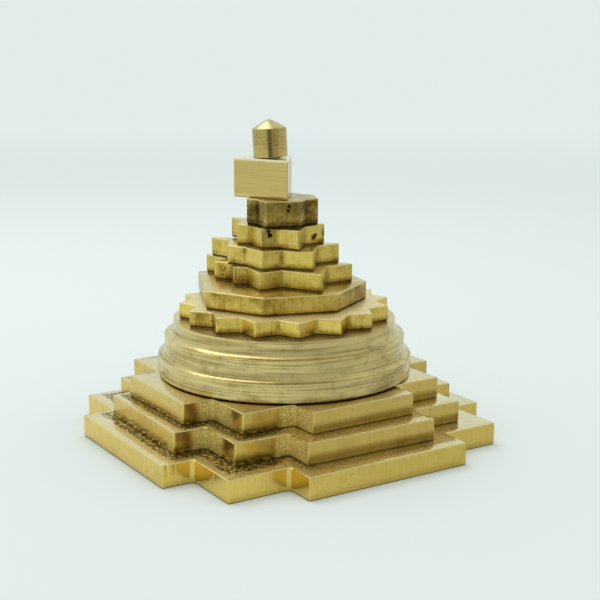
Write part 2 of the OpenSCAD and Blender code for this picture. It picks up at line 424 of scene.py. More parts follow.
def cap(band, height, radius, centre, upper, ledge=None):
    """The flat face that closes one end of a band, with the bore's round hole in it."""
    tree = band.id_data
    level = parts(position_of(tree))[2]
    side = "GREATER_THAN" if upper else "LESS_THAN"
    in_half = math_node(side, level, times(height, 0.5))
    faces = put(tree, "GeometryNodeInputMeshEdgeNeighbors").outputs[0]
    border = math_node("COMPARE", faces, 1.0, SAME)
    loop = out("GeometryNodeMeshToCurve", {"Mesh": band, "Selection": times(in_half, border)})
    hole = moved(circle(radius), centre)
    flat = filled(loop, hole)
    if ledge:
        # On a ledge, a band beside the wall above is marked for unpolished metal and a painted dark
        # reflection of the wall
        wanted, grit_and_reflection_loop, foot_loop, foot_edges = ledge
        outer = store(filled(loop, grit_and_reflection_loop), "grit_and_painted_light", 0.0)
        away = made("GeometryNodeProximity", {0: foot_edges}, target_element="EDGES")["Distance"]
        touching = math_node("LESS_THAN", away, WELD)
        ring = store(filled(grit_and_reflection_loop, foot_loop), "grit_and_painted_light", touching)
        inner = store(filled(foot_loop, hole), "grit_and_painted_light", 1.0)
        flat = choice(wanted, flat, joined(outer, ring, inner))
    lifted = moved(flat, vector(z=height)) if upper else flat
    plain = out("GeometryNodeSetShadeSmooth", {"Geometry": lifted, "Shade Smooth": False})
    return store(plain, "cap", 1.0)


def bore(sockets, height):
    """The wall of a bore, with a wider recess at its foot."""
    wider = minus(sockets["Recess Radius"], sockets["Bore Radius"])
    roof = times(sockets["Recess Height"], -1.0)
    top = times(height, -1.0)
    profile = point_line([(wider, 0.0), (wider, roof), (0.0, roof), (0.0, top)])
    return moved(swept(circle(sockets["Bore Radius"]), profile), sockets["Bore Centre"])


def close_tree(sockets, *pieces):
    """Welds the pieces, gives them the material and sends them out."""
    whole = out("GeometryNodeMergeByDistance", {"Geometry": joined(*pieces), "Distance": WELD})
    real = out("GeometryNodeRealizeInstances", {"Geometry": whole})
    painted = out("GeometryNodeSetMaterial", {"Geometry": real, "Material": sockets["Material"]})
    made("NodeGroupOutput", {0: painted})


BORE_SIZES = ("Height", "Bore Radius", "Recess Radius", "Recess Height")


def cut_tier_tree():
    """A tier sawn along an outline: rounded corners, a worn rim, saw lines, nicks and a gap at its foot."""
    own = (
        "Corner", "Inner Corner", "Rim", "Gap", "Gap Depth", "Sample", "Saw Spacing", "Saw Depth",
        "Nick Depth", "Grit", "Grit Reach", "Grime And Shade", "Grime Reach", "Front Only", "Shine", "Fresh And Lit", "Sanded")
    tree, sockets = new_tree("cut_tier", BORE_SIZES + own, ("Ledge", "Seed"), ("Bore Centre",))
    edges, height, rim, gap, shine, wide = (
        sockets[name] for name in ("Geometry", "Height", "Rim", "Gap", "Shine", "Grime Reach"))

    def above_gap(size):
        return plus(gap, size)

    def below_top(size):
        return minus(height, size)

    number, inner = kept_value(tree, "loop"), kept_value(tree, "inner")
    on_loop = [math_node("COMPARE", number, float(order), SAME) for order in range(3)]
    outline, grit_and_reflection_loop, foot_loop = (
        out("GeometryNodeMeshToCurve", {"Mesh": edges, "Selection": chosen}) for chosen in on_loop)
    foot_edges = out("GeometryNodeSeparateGeometry", {0: edges, 1: on_loop[2]})
    inner_corners = out("GeometryNodeSeparateGeometry", {0: edges, 1: times(inner, on_loop[0])})
    radius = between(inner, sockets["Corner"], sockets["Inner Corner"])
    sampled = eased_line(outline, radius, CORNER_STEPS, sockets["Sample"])
    path = store(sampled, "along", run_length(tree))
    deep = times(sockets["Gap Depth"], -1.0)
    points = [
        (deep, times(gap, 0.0)),
        (deep, gap),
        (times(rim, -0.5), gap),
        (0.0, above_gap(times(rim, 0.5))),
        (0.0, above_gap(times(wide, 0.5))),
        (0.0, above_gap(wide)),
        (0.0, below_top(shine)),
        (0.0, below_top(times(shine, SHINE_FULL))),
        (0.0, below_top(rim)),
        (times(rim, -0.3), below_top(times(rim, 0.3))),
        (times(rim, -1.0), height),
    ]
    profile = point_line([(across, times(level, -1.0)) for across, level in points])
    band = out("GeometryNodeFlipFaces", {"Mesh": swept(path, profile)})
    lines = line_noise(kept_value(tree, "along"), sockets["Saw Spacing"], sockets["Seed"])
    normal, place = put(tree, "GeometryNodeInputNormal").outputs[0], position_of(tree)
    level = parts(place)[2]
    near_rim = math_node("GREATER_THAN", level, below_top(times(rim, CHIP_REACH)))
    inputs = {"Vector": place, "W": sockets["Seed"], "Scale": CHIP_SCALE, "Detail": 2.0}
    chips = ramp(out("ShaderNodeTexNoise", inputs, noise_dimensions="4D"), *CHIP_RANGE)
    nick = times(chips, times(near_rim, sockets["Nick Depth"]))
    push = minus(times(lines, sockets["Saw Depth"]), nick)
    wall = pushed(band, flattened(normal), push)
    # A band below the top is marked to be painted pale and clean: partly wear, partly a painted highlight
    edge = ramp(level, below_top(shine), below_top(times(shine, SHINE_FULL)))
    # The gap at the foot is marked, to be painted near black as its shadow
    below = math_node("LESS_THAN", level, above_gap(WELD))
    inputs = {0: inner_corners, 2: flattened(place)}
    away = made("GeometryNodeProximity", inputs, target_element="POINTS")["Distance"]
    faced = parts(normal)
    longer = times_plus(smaller(faced[0], 0.0), -LEFT_GRIT, 1.0)
    reach = times(sockets["Grit Reach"], longer)
    beside = ramp(away, times(reach, GRIT_FULL), reach, sockets["Grit"], 0.0)
    unpolished = times(beside, minus(1.0, edge))
    # Darker towards inner corners and, on front walls where asked, towards the foot: dirt and painted shade
    in_corner = ramp(away, 0.0, wide, sockets["Grime And Shade"], 0.0)
    at_foot = ramp(level, above_gap(times(wide, 0.5)), above_gap(wide), sockets["Grime And Shade"], 0.0)
    frontward = times(smaller(faced[1], 0.0), -1.0)
    facing = between(sockets["Front Only"], 1.0, frontward)
    grime_and_shade = larger(in_corner, times(at_foot, facing))
    marks = {"rim": edge, "gap": below, "grit_and_painted_light": unpolished, "grime_and_shade": grime_and_shade, "fresh_and_lit": sockets["Fresh And Lit"]}
    for name, value in marks.items():
        wall = store(wall, name, value)
    ledge = (sockets["Ledge"], grit_and_reflection_loop, foot_loop, foot_edges)
    top = cap(wall, height, sockets["Bore Radius"], sockets["Bore Centre"], True, ledge)
    top = store(top, "sanded", sockets["Sanded"])
    foot = cap(wall, height, sockets["Recess Radius"], sockets["Bore Centre"], False)
    close_tree(sockets, wall, top, foot, bore(sockets, height))
    return tree


def turned_tree():
    """A piece turned on a lathe from its profile, with softened lips and turning lines."""
    own = ("Lip", "Gap", "Sample", "Turning Spacing", "Turning Depth", "Pitch Radius")
    tree, sockets = new_tree("turned_piece", BORE_SIZES + own, ("Sides", "Bored", "Seed"), ("Bore Centre",))
    profile = out("GeometryNodeMeshToCurve", {"Mesh": sockets["Geometry"]})
    sampled = eased_line(profile, sockets["Lip"], LIP_STEPS, sockets["Sample"])
    # The gap at the foot is marked, to be painted near black as its shadow
    below = math_node("LESS_THAN", parts(position_of(tree))[2], sockets["Gap"])
    marked = store(sampled, "gap", below)
    tangent = parts(put(tree, "GeometryNodeInputTangent").outputs[0])
    across = vector(tangent[2], 0.0, times(tangent[0], -1.0))
    lines = line_noise(run_length(tree), sockets["Turning Spacing"], sockets["Seed"])
    grooved = pushed(marked, across, times(lines, sockets["Turning Depth"]))
    place = parts(position_of(tree))
    held = vector(minus(place[0], sockets["Pitch Radius"]), times(place[2], -1.0))
    laid = out("GeometryNodeSetPosition", {"Geometry": grooved, "Position": held})
    wall = swept(circle(sockets["Pitch Radius"], sockets["Sides"]), laid)
    height = sockets["Height"]
    top = cap(wall, height, sockets["Bore Radius"], sockets["Bore Centre"], True)
    foot = cap(wall, height, sockets["Recess Radius"], sockets["Bore Centre"], False)
    closed = joined(top, foot, bore(sockets, height))
    close_tree(sockets, wall, choice(sockets["Bored"], None, closed))
    return tree


def edge_mesh(name, loops, closed, worn_and_painted_light=None):
    """Edges through lines or loops of points, marked with their number, inward corners and points painted
    pale for wear and sheen.
    """
    points, edges, numbers, inward = [], [], [], []
    for number, loop in enumerate(loops):
        first, count = len(points), len(loop)
        edges += [(first + i, first + (i + 1) % count) for i in range(count if closed else count - 1)]
        points += [tuple(point) for point in loop]
        numbers += [float(number)] * count
        for i, point in enumerate(loop):
            turn = (point - loop[i - 1]).cross(loop[(i + 1) % count] - point).z
            inward.append(1.0 if closed and turn < 0 else 0.0)
    mesh = bpy.data.meshes.new(name)
    mesh.from_pydata(points, edges, [])
    for key, values in (("loop", numbers), ("inner", inward), ("rim", worn_and_painted_light or [0.0] * len(points))):
        mesh.attributes.new(key, "FLOAT", "POINT").data.foreach_set("value", values)
    return mesh


def edge_distance(point, start, end):
    """How far a point lies from a straight edge."""
    way = end - start
    share = min(max((point - start).dot(way) / way.length_squared, 0.0), 1.0)
    return (point - start - way * share).length


def widened(loop, outline, reach):
    """A loop with its edges set outwards by a reach, or by part of the way to the outline if that is less."""
    shifts = []
    for start, end in zip(loop, loop[1:] + loop[:1]):
        room = min(edge_distance(point, start, end) for point in outline)
        for first, second in zip(outline, outline[1:] + outline[:1]):
            room = min(room, edge_distance(start, first, second), edge_distance(end, first, second))
        way = (end - start).normalized()
        shifts.append((Vector((way.y, -way.x, 0.0)), min(reach, LEDGE_SHARE * room)))
    wider = []
    for i, point in enumerate(loop):
        (first, step), (second, next_step) = shifts[i - 1], shifts[i]
        slant = first.dot(second)
        shift = first * (step - slant * next_step) + second * (next_step - slant * step)
        wider.append(point + shift / (1.0 - slant * slant))
    return wider


def run_tree(name, tree, edges, values, place):
    """Runs a tree on edges and returns the result as a plain mesh object, put in its place."""
    source = bpy.data.objects.new(name + "_edges", edges)
    bpy.context.scene.collection.objects.link(source)
    modifier = source.modifiers.new("shape", "NODES")
    modifier.node_group = tree
    for item in tree.interface.items_tree:
        if item.in_out == "INPUT" and item.name in values:
            modifier[item.identifier] = values[item.name]
    graph = bpy.context.evaluated_depsgraph_get()
    mesh = bpy.data.meshes.new_from_object(
        source.evaluated_get(graph), preserve_all_data_layers=True, depsgraph=graph)
    bpy.data.objects.remove(source)
    mesh.materials.clear()
    mesh.materials.append(values["Material"])
    mesh.polygons.foreach_set("material_index", [0] * len(mesh.polygons))
    mesh.transform(place)
    return finished(name, mesh)


def finished(name, mesh):
    """A mesh with its faces turned outwards and its hard edges kept hard, as an object."""
    shape = bmesh.new()
    shape.from_mesh(mesh)
    bmesh.ops.dissolve_degenerate(shape, dist=WELD, edges=shape.edges)
    bmesh.ops.recalc_face_normals(shape, faces=shape.faces)
    shape.to_mesh(mesh)
    shape.free()
    mesh.set_sharp_from_angle(angle=HARD_EDGE)
    mesh.name = name
    piece = bpy.data.objects.new(name, mesh)
    bpy.context.scene.collection.objects.link(piece)
    return piece


def merged_copy(node):
    """A CAD node's mesh with its loose triangles welded."""
    shape = bmesh.new()
    shape.from_mesh(frame["nodes"][node].data)
    bmesh.ops.remove_doubles(shape, verts=shape.verts, dist=CAD_WELD)
    shape.normal_update()
    return shape


def level_loops(node, level):
    """The loops of edges that border a CAD node's flat face at a level, the longest first."""
    shape = merged_copy(node)

    def flat(face):
        return abs(face.normal.z) > LEVEL_NORMAL and abs(face.calc_center_median().z - level) < WELD

    links = {}
    for edge in shape.edges:
        if len(edge.link_faces) == 2 and flat(edge.link_faces[0]) != flat(edge.link_faces[1]):
            first, second = (vert.co.copy().freeze() for vert in edge.verts)
            links.setdefault(first, []).append(second)
            links.setdefault(second, []).append(first)
    shape.free()
    loops = []
    while links:
        start = next(iter(links))
        loop, point = [], start
        while point in links:
            loop.append(point)
            ends = links.pop(point)
            point = next((end for end in ends if end in links), start)
        loops.append(loop)
    loops.sort(key=lambda loop: sum((a - b).length for a, b in zip(loop, loop[1:])), reverse=True)
    return loops


def counterclockwise(loop):
    """A loop that runs counterclockwise seen from above."""
    twice_area = sum(a.x * b.y - b.x * a.y for a, b in zip(loop, loop[1:] + loop[:1]))
    return loop if twice_area > 0 else loop[::-1]


def hole_of(loop):
    """Centre and radius of a round loop."""
    centre = sum(loop, Vector()) / len(loop)
    return centre, max((point - centre).length for point in loop)


def bore_values(node):
    """The bore's sizes of a CAD tier, as a tree takes them."""
    low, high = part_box(node)
    top_hole = level_loops(node, high.z)[1]
    foot_hole = level_loops(node, low.z)[1]
    centre, radius = hole_of(top_hole)
    recess = hole_of(foot_hole)[1]
    levels = sorted({round(vert.co.z, 7) for vert in frame["nodes"][node].data.vertices})
    has_recess = recess > radius + WELD
    roof = levels[1] - low.z if has_recess else (high.z - low.z) / 2
    return {
        "Height": high.z - low.z, "Bore Radius": radius, "Bore Centre": (centre.x, centre.y, 0.0),
        "Recess Radius": recess, "Recess Height": roof,
    }


def dress(piece, body, slot, *nodes):
    """Hangs a finished piece on its body and hides the CAD nodes that it stands for; the slot is not used."""
    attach(piece, body)
    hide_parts(*nodes)


def tier_outline(node):
    """A CAD tier's outline from above, laid flat."""
    loop = counterclockwise(level_loops(node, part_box(node)[1].z)[0])
    return [Vector((point.x, point.y, 0.0)) for point in loop]


def cut_tiers(scene, tiers, saw=1.0, nick=1.0, corner=1.0, rim=1.0, shine=1.4,
              grit_and_painted_light=0.0, grime_and_shade=0.0, spread=1.0, front=0.0):
    """Builds each tier of a group from its CAD outline, with shares of the usual sizes."""
    sizes = scene.yantra_sizes
    tree = bpy.data.node_groups.get("cut_tier") or cut_tier_tree()
    for number, (node, (body, slot, gap, inner, fresh_and_lit)) in enumerate(tiers.items()):
        loops = [tier_outline(node)]
        if node in LEDGE_ABOVE:
            foot = tier_outline(LEDGE_ABOVE[node])
            loops += [widened(foot, loops[0], sizes.grit_and_painted_light_reach), foot]
        lowest = node == "lower_square_tier"
        values = bore_values(node) | {
            "Corner": sizes.corner * corner, "Inner Corner": inner * MM, "Sample": sizes.sample,
            "Rim": sizes.rim * rim, "Shine": sizes.rim * shine, "Fresh And Lit": fresh_and_lit,
            "Gap": gap * MM, "Gap Depth": GAP_SHARE * sizes.corner * corner,
            "Saw Spacing": sizes.saw_spacing, "Saw Depth": sizes.saw_depth * saw,
            "Nick Depth": sizes.nick_depth * nick, "Seed": sizes.seed + number,
            "Ledge": int(node in LEDGE_ABOVE), "Sanded": SANDED_TOPS.get(node, 0.0),
            "Grit": 0.0 if lowest else grit_and_painted_light, "Grit Reach": WALL_REACH * sizes.grit_and_painted_light_reach,
            "Grime And Shade": 0.0 if lowest else grime_and_shade, "Grime Reach": sizes.grime_and_shade_reach * spread,
            "Front Only": front, "Material": material_for(slot),
        }
        place = Matrix.Translation((0.0, 0.0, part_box(node)[0].z))
        piece = run_tree(node + "_finish", tree, edge_mesh(node, loops, True), values, place)
        dress(piece, body, slot, node)


def attribute(tree, name):
    """A value that the shape's tree kept on the points."""
    return put(tree, "ShaderNodeAttribute", attribute_name=name).outputs["Fac"]


def noise(place, scale, detail=3.0, roughness=0.5):
    """A noise texture's value."""
    inputs = {"Vector": place, "Scale": scale, "Detail": detail, "Roughness": roughness}
    return out("ShaderNodeTexNoise", inputs)


def blended(share, first, second):
    """Two colours mixed by a share."""
    ends = [end if isinstance(end, bpy.types.NodeSocket) else (*end, 1.0) for end in (first, second)]
    return made("ShaderNodeMix", {"Factor": share, 6: ends[0], 7: ends[1]}, data_type="RGBA")[2]


# Widths of the soft edges of specks and grains
SPECK_EDGE = 0.08
GRAIN_EDGE = 0.14
# Stains, in their radii: how uneven they are, and where they are full and end once that is added
SPOT_UNEVEN = 2.0
SPOT_FULL = 1.1
SPOT_END = 2.1
# The range of patchy noise over which dirt and painted shade are caught
GRIME_AND_SHADE_PATCHES = (0.35, 0.65)
# How much rougher the dark pits and the gaps painted dark as shadow are
GAP_SHADOW_AND_PIT_ROUGH = 0.4
# Sanded tops: how much cleaner, paler and rougher they are
SANDED_CLEAN = 0.6
SANDED_PALE = 0.4
SANDED_ROUGH = 0.3
# Unpolished metal, with a painted dark reflection of the wall on ledges: its start, where it ends on the
# ledges, its ragged edges, and how matt and rough it is
GRIT_AND_LIGHT_START = (0.0, 0.1)
GRIT_REFLECTION_LEFT = (-26.0 * MM, -12.0 * MM)
GRIT_AND_LIGHT_RAGGED = 1.6
WALL_EDGE = (0.1, 0.9)
LEDGE_EDGE = (-0.1, 0.25)
MATT = 0.7
GRIT_AND_LIGHT_ROUGH = 0.2
# Its painted glints: how fine they are on walls and ledges, and where they start to sparkle
WALL_GLINT_SCALE = 4200.0
LEDGE_GLINT_SCALE = 1900.0
GLINT_EDGE = (0.5, 0.6)
# Near black, painted into the gaps as their shadow and into the darkest pits
GAP_SHADOW_AND_PIT = (0.012, 0.008, 0.003)
WALL_GRIT = (0.56, 0.42, 0.08)
# The ledges' dark band: unpolished metal and a painted dark reflection of the wall
LEDGE_GRIT_AND_REFLECTION = (0.11, 0.07, 0.009)
# Painted glints
PAINTED_GLINT = (0.95, 0.78, 0.32)
# Pale brass: painted on flat faces as sheen, on rims as wear and highlight, and on sanded tops and the
# finial's cone
PALE_BRASS = (0.93, 0.85, 0.60)
# A brighter brass mixed into some tiers' walls: partly fresher metal, partly painted light
FRESH_LIT_BRASS = (0.92, 0.69, 0.165)
# Noise stretched into upright lines and into level ones
UPRIGHT = (1.0, 1.0, 0.02)
LEVEL = (0.02, 0.02, 1.0)


def metal(name, colour, tarnish_and_shade, look, spots=()):
    """Metal with tool lines on its walls, grain on its flat faces, tarnished patches and dirt, bright rims
    that are partly a painted highlight, flat faces painted paler as sheen, gaps painted dark as shadow,
    painted shade in corners, and unpolished patches with painted glints and, on ledges, a painted dark
    reflection.
    """
    material = bpy.data.materials.get(name + "_finish")
    if material:
        return material
    material = bpy.data.materials.new(name + "_finish")
    material.use_nodes = True
    tree = material.node_tree
    shader = tree.nodes["Principled BSDF"].inputs
    place = put(tree, "ShaderNodeTexCoord").outputs["Object"]
    flat, rim, gap, sanded = (attribute(tree, mark) for mark in ("cap", "rim", "gap", "sanded"))
    stretched = out("ShaderNodeMapping", {"Vector": place, "Scale": look["stretch"]})
    lines = noise(stretched, look["line_scale"], 3.0, 0.6)
    grain = noise(place, look["grain_scale"], 3.0, 0.6)
    patchy = noise(place, look["patch_scale"], 5.0, 0.65)
    speckled = noise(place, look["speck_scale"], 2.0)
    patches = ramp(patchy, look["patch_from"], look["patch_to"])
    specks = ramp(speckled, look["speck_from"], look["speck_from"] + SPECK_EDGE)
    grains = ramp(grain, look["grain_from"], look["grain_from"] + GRAIN_EDGE)
    on_walls = ramp(lines, look["line_from"], look["line_to"], 0.0, look["line_dark"])
    on_tops = times_plus(grains, look["grain_dark"], look["flat_dark"])
    # Darker from patches, specks, stains, and the dirt and painted shade caught in corners
    worn_and_painted_light = times(patches, look["patch_dark"])
    worn_and_painted_light = times_plus(specks, look["speck_dark"], worn_and_painted_light)
    for *spot, radius, depth in spots:
        size = radius * MM
        inputs = {0: place, 1: [part * MM for part in spot]}
        distance = made("ShaderNodeVectorMath", inputs, operation="DISTANCE")["Value"]
        uneven = times_plus(grain, SPOT_UNEVEN * size, distance)
        worn_and_painted_light = plus(worn_and_painted_light, ramp(uneven, SPOT_FULL * size, SPOT_END * size, depth, 0.0))
    # Dirt and painted shade in inner corners and at the feet of walls
    caught = ramp(patchy, *GRIME_AND_SHADE_PATCHES, look["grime_and_shade_even"], 1.0)
    worn_and_painted_light = plus(worn_and_painted_light, times(attribute(tree, "grime_and_shade"), caught))
    # Rims are kept clean and bright: partly wear, partly a painted highlight
    polish_and_highlight = times_plus(rim, -look["rim_bright"], 1.0)
    polish_and_highlight = times_plus(sanded, -SANDED_CLEAN, polish_and_highlight)
    deep = times(plus(between(flat, on_walls, on_tops), worn_and_painted_light), polish_and_highlight)
    dark = smaller(deep, 1.0)
    # Gaps are painted near black as their shadow, and so are the darkest pits
    gap_shadow_and_pits = larger(gap, ramp(deep, 1.0, 2.0))
    # Flat faces are painted paler, a painted sheen in place of their bright reflection; rims are painted pale
    # as well
    pale = times_plus(flat, look["flat_pale"], times(rim, look["rim_pale"]))
    pale = times_plus(sanded, SANDED_PALE, pale)
    # Brighter brass on some tiers' walls: partly fresher metal, partly painted light
    fresh_and_lit = blended(attribute(tree, "fresh_and_lit"), colour, FRESH_LIT_BRASS)
    brass = blended(dark, blended(pale, fresh_and_lit, PALE_BRASS), tarnish_and_shade)
    # Unpolished metal near inner corners with painted glints, and on the left ledges a painted dark
    # reflection of the wall
    left = ramp(parts(place)[0], *GRIT_REFLECTION_LEFT, 1.0, 0.0)
    grit_and_painted_light = times(attribute(tree, "grit_and_painted_light"), between(flat, 1.0, left))
    ragged = times_plus(patchy, GRIT_AND_LIGHT_RAGGED, minus(grit_and_painted_light, 0.5 * GRIT_AND_LIGHT_RAGGED))
    spread = between(flat, ramp(ragged, *WALL_EDGE), ramp(ragged, *LEDGE_EDGE))
    grit_and_painted_light_share = times(spread, ramp(grit_and_painted_light, *GRIT_AND_LIGHT_START))
    matt = larger(times(grit_and_painted_light_share, minus(1.0, flat)), sanded)
    wall_glint_noise = noise(place, WALL_GLINT_SCALE, 1.0)
    glint_noise = between(flat, wall_glint_noise, noise(place, LEDGE_GLINT_SCALE, 2.0, 0.7))
    grit_and_glint = blended(flat, WALL_GRIT, LEDGE_GRIT_AND_REFLECTION)
    grit_and_glint = blended(ramp(glint_noise, *GLINT_EDGE), grit_and_glint, PAINTED_GLINT)
    brass = blended(grit_and_painted_light_share, brass, grit_and_glint)
    rough = times_plus(flat, look["flat_rough"], look["rough"])
    rougher = ((dark, look["dark_rough"]), (grit_and_painted_light_share, GRIT_AND_LIGHT_ROUGH), (sanded, SANDED_ROUGH), (gap_shadow_and_pits, GAP_SHADOW_AND_PIT_ROUGH))
    for mark, more in rougher:
        rough = times_plus(mark, more, rough)
    height = between(flat, lines, times(grains, look["grain_depth"]))
    bump = out("ShaderNodeBump", {"Height": height, "Strength": 1.0, "Distance": look["bump"] * MM})
    tree.links.new(blended(gap_shadow_and_pits, brass, GAP_SHADOW_AND_PIT), shader["Base Color"])
    tree.links.new(times_plus(matt, -MATT, 1.0), shader["Metallic"])
    tree.links.new(rough, shader["Roughness"])
    tree.links.new(bump, shader["Normal"])
    return material


# The look that the others differ from
PLAIN_LOOK = {
    "stretch": UPRIGHT, "line_scale": 3400.0, "line_from": 0.45, "line_to": 0.8, "line_dark": 0.16,
    "grain_scale": 2600.0, "grain_from": 0.53, "grain_dark": 0.35, "grain_depth": 3.0,
    "patch_scale": 160.0, "patch_from": 0.5, "patch_to": 0.75, "patch_dark": 0.2,
    "speck_scale": 2200.0, "speck_from": 0.66, "speck_dark": 0.4,
    "flat_dark": 0.0, "flat_pale": 0.65, "rim_bright": 0.8, "rim_pale": 0.25, "grime_and_shade_even": 0.4,
    "rough": 0.18, "flat_rough": -0.06, "dark_rough": 0.15, "bump": 0.012,
}
# Stains seen in the photograph: place and radius in millimetres, and how dark
SAWN_SPOTS = (
    (-10.5, 7.7, 34.8, 2.0, 0.6),
    (-9.8, 6.4, 33.4, 2.2, 0.6),
    (-10.6, 0.8, 33.6, 1.8, 0.6),
    (-9.3, -0.2, 33.0, 1.5, 0.5),
    (-6.4, -4.3, 43.7, 0.8, 2.6),
    (-6.2, -4.4, 42.9, 0.7, 2.2),
    (4.1, -4.6, 41.7, 0.8, 1.9),
    (4.7, -4.5, 42.2, 0.5, 2.2),
    (7.4, -4.2, 42.5, 1.3, 1.5),
    (1.3, -9.5, 38.9, 0.7, 1.6),
    (-20.5, -1.0, 27.6, 3.0, 0.8),
    (-19.5, -5.1, 26.9, 2.6, 0.7),
    (7.5, -13.1, 31.0, 4.5, 0.35),
    (12.0, -10.3, 30.8, 3.5, 0.35),
)
TARNISH_SPOTS = (
    (-7.4, 0.9, 47.6, 2.0, 0.45),
    (-6.9, -1.0, 48.2, 1.5, 0.3),
    (2.1, -5.6, 48.0, 3.0, 0.5),
    (-3.3, -6.6, 48.0, 0.4, 2.0),
    (-3.1, -6.7, 48.9, 0.5, 1.4),
    (-2.2, -6.2, 49.4, 0.6, 1.3),
)
SATIN_SPOTS = (
    (8.0, -25.0, 14.6, 6.0, 0.35),
)
BRIGHT_SPOTS = (
    (-2.5, 1.6, 62.5, 7.0, 0.42),
)


# Each slot's colour and darker colour, how its look differs from the plain one, and its stains
FINISHES = {
    "polished_brass": ("polished", "tarnish_and_shade", {"grime_and_shade_even": 0.9}, ()),
    "satin_turned_brass": ("satin", "tarnish_and_shade", {
        "stretch": LEVEL, "line_scale": 3000.0, "line_from": 0.4, "line_to": 0.7, "line_dark": 0.5,
        "grain_dark": 0.3, "patch_scale": 320.0, "patch_from": 0.45, "patch_dark": 0.32,
        "rough": 0.22, "flat_rough": 0.2,
    }, SATIN_SPOTS),
    "sawn_brass": ("sawn", "stain_and_shade", {
        "line_scale": 4200.0, "line_dark": 0.5, "patch_scale": 240.0, "patch_dark": 0.4,
        "speck_scale": 3200.0, "speck_from": 0.6, "speck_dark": 0.45,
        "flat_dark": 0.3, "flat_pale": 0.3, "rough": 0.23, "bump": 0.02,
    }, SAWN_SPOTS),
    "tarnished_brass": ("sawn", "tarnish_and_shade", {
        "line_dark": 0.2, "patch_from": 0.25, "patch_to": 0.6, "patch_dark": 0.75,
        "speck_scale": 3200.0, "speck_from": 0.6, "speck_dark": 0.35, "rough": 0.3,
    }, TARNISH_SPOTS),
    "bright_brass": ("bright", "tarnish_and_shade", {
        "stretch": LEVEL, "line_scale": 2400.0, "line_dark": 0.22, "grain_dark": 0.2, "patch_dark": 0.12,
        "speck_dark": 0.2, "flat_pale": 0.6, "rim_pale": 0.8, "rough": 0.17, "bump": 0.004,
    }, BRIGHT_SPOTS),
    "rod_steel": ("steel", "dull", {"line_dark": 0.3, "rough": 0.3}, ()),
}


def material_for(slot):
    """The material of one of the record's slots."""
    colours = bpy.context.scene.yantra_colours
    colour, dark, look, spots = FINISHES[slot]
    return metal(slot, getattr(colours, colour), getattr(colours, dark), PLAIN_LOOK | look, spots)


def turn_piece(scene, node, body, slot, profile, place, own, worn_and_painted_light=None):
    """Turns a piece from its profile, with values of its own beside the usual sizes."""
    sizes = scene.yantra_sizes
    values = {
        "Lip": sizes.lip, "Sample": TURNED_SAMPLE, "Turning Spacing": sizes.turn_spacing,
        "Turning Depth": sizes.turn_depth, "Seed": sizes.seed, "Material": material_for(slot),
    }
    tree = bpy.data.node_groups.get("turned_piece") or turned_tree()
    edges = edge_mesh(node, [profile], False, worn_and_painted_light)
    dress(run_tree(node + "_finish", tree, edges, values | own, place), body, slot, node)


class YANTRA_OT_square_tiers(bpy.types.Operator):
    """Cut the three square tiers with their gates"""

    bl_idname = "yantra.square_tiers"
    bl_label = "Square Tiers"

    def execute(self, context):
        cut_tiers(context.scene, SQUARE_TIERS, saw=0.12, grit_and_painted_light=1.0, grime_and_shade=0.55, spread=2.0, front=1.0)
        return {"FINISHED"}


class YANTRA_OT_point_tiers(bpy.types.Operator):
    """Cut the sixteen-point tier, the octagon and the stars"""

    bl_idname = "yantra.point_tiers"
    bl_label = "Pointed Tiers"

    def execute(self, context):
        cut_tiers(context.scene, POINT_TIERS, grime_and_shade=0.6)
        return {"FINISHED"}


class YANTRA_OT_triangle_tier(bpy.types.Operator):
    """Cut the triangle tier"""

    bl_idname = "yantra.triangle_tier"
    bl_label = "Triangle Tier"

    def execute(self, context):
        # The triangle's wide shine is a painted highlight along its top edge
        cut_tiers(context.scene, TRIANGLE_TIER, saw=0.15, nick=0.5, corner=0.6, rim=0.5, shine=3.0)
        return {"FINISHED"}


class YANTRA_OT_round_tier(bpy.types.Operator):
    """Turn the round tier with its steps and coves"""

    bl_idname = "yantra.round_tier"
    bl_label = "Round Tier"

    def execute(self, context):
        node = "round_tier"
        sizes = context.scene.yantra_sizes
        values = bore_values(node)
        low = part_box(node)[0]
        rings = {}
        for vert in frame["nodes"][node].data.vertices:
            radius = Vector(vert.co.xy).length
            if radius > OUTSIDE * values["Bore Radius"]:
                rings.setdefault(round(vert.co.z - low.z, 6), set()).add(round(radius, 5))
        profile = [Vector((radius, 0.0, level)) for level in sorted(rings)
                   for radius in (max(rings[level]), min(rings[level]))]
        foot, gap = profile[0].x, ROUND_GAP
        inside = foot - sizes.gap_depth
        slot_points = [Vector((inside, 0.0, 0.0)), Vector((inside, 0.0, gap)), Vector((foot + gap, 0.0, gap))]
        apart = [point for last, point in zip(profile, profile[1:]) if (point - last).length > WELD]
        profile = slot_points + [point for point in apart if point.z > gap]
        values |= {"Gap": gap + GAP_MARK, "Pitch Radius": ROUND_PITCH, "Sides": sizes.turn_sides, "Bored": 1}
        place = Matrix.Translation((0.0, 0.0, low.z))
        turn_piece(context.scene, node, "round", "satin_turned_brass", profile, place, values)
        return {"FINISHED"}


